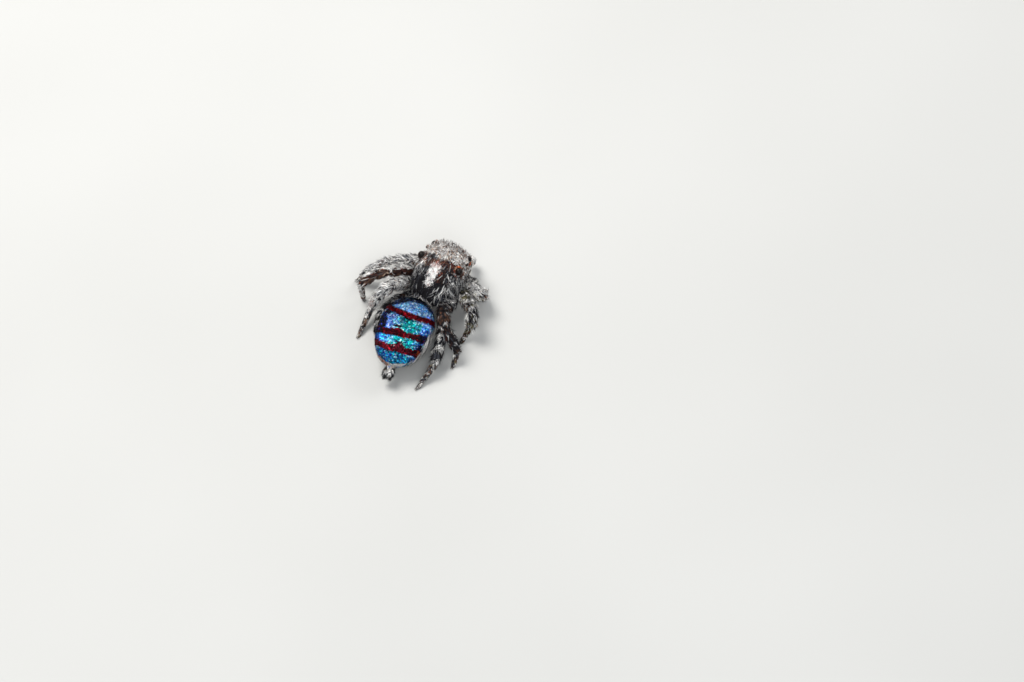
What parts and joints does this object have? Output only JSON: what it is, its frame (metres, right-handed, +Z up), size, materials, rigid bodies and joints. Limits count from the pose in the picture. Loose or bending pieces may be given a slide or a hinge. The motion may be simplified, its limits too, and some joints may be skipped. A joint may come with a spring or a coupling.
{
  "type": "male peacock spider, still life-size model",
  "caption": "Small hairy jumping spider standing on eight legs, its head turned a little, with a shiny blue and red banded plate over its abdomen.",
  "frame": {"origin": "under the middle of the bounding box, on the floor that the feet rest on", "axes": "+Z up, head towards -Y, the spider's left side at +X"},
  "size_m": [0.0042, 0.0052, 0.0017],
  "materials": {
    "grey_scales": "rough coat of grey, white and black scales",
    "dark_cuticle": "dark brown, half glossy",
    "brown_cuticle": "red-brown, half glossy",
    "eye_lens": "black, polished",
    "blue_scales": "iridescent blue to teal, satin",
    "red_scales": "deep red, satin",
    "white_hair": "white hair"
  },
  "bodies": {
    "root": {"abdomen": "grey_scales", "carapace": "grey_scales", "chelicera_left": "brown_cuticle", "chelicera_right": "brown_cuticle", "eye_front_middle_left": "eye_lens", "eye_front_middle_right": "eye_lens", "eye_front_side_left": "eye_lens", "eye_front_side_right": "eye_lens", "eye_rear_side_left": "eye_lens", "eye_rear_side_right": "eye_lens", "eye_small_side_left": "eye_lens", "eye_small_side_right": "eye_lens", "fan_bar_1": "red_scales", "fan_bar_2": "red_scales", "fan_bar_3": "red_scales", "fan_flap_left": "white_hair", "fan_flap_right": "white_hair", "fan_plate": "blue_scales", "leg_1_left_femur": "grey_scales", "leg_1_left_foot": "grey_scales", "leg_1_left_tibia": "grey_scales", "leg_1_right_femur": "grey_scales", "leg_1_right_foot": "grey_scales", "leg_1_right_tibia": "grey_scales", "leg_2_left_femur": "grey_scales", "leg_2_left_foot": "grey_scales", "leg_2_left_tibia": "grey_scales", "leg_2_right_femur": "grey_scales", "leg_2_right_foot": "grey_scales", "leg_2_right_tibia": "grey_scales", "leg_3_left_femur": "grey_scales", "leg_3_left_foot": "grey_scales", "leg_3_left_tibia": "grey_scales", "leg_3_right_femur": "grey_scales", "leg_3_right_foot": "grey_scales", "leg_3_right_tibia": "grey_scales", "leg_4_left_femur": "grey_scales", "leg_4_left_foot": "grey_scales", "leg_4_left_tibia": "grey_scales", "leg_4_right_femur": "grey_scales", "leg_4_right_foot": "grey_scales", "leg_4_right_tibia": "grey_scales", "palp_left": "grey_scales", "palp_right": "grey_scales", "pedicel": "dark_cuticle", "spinnerets": "dark_cuticle", "sternum": "dark_cuticle"}
  },
  "joints": []
}
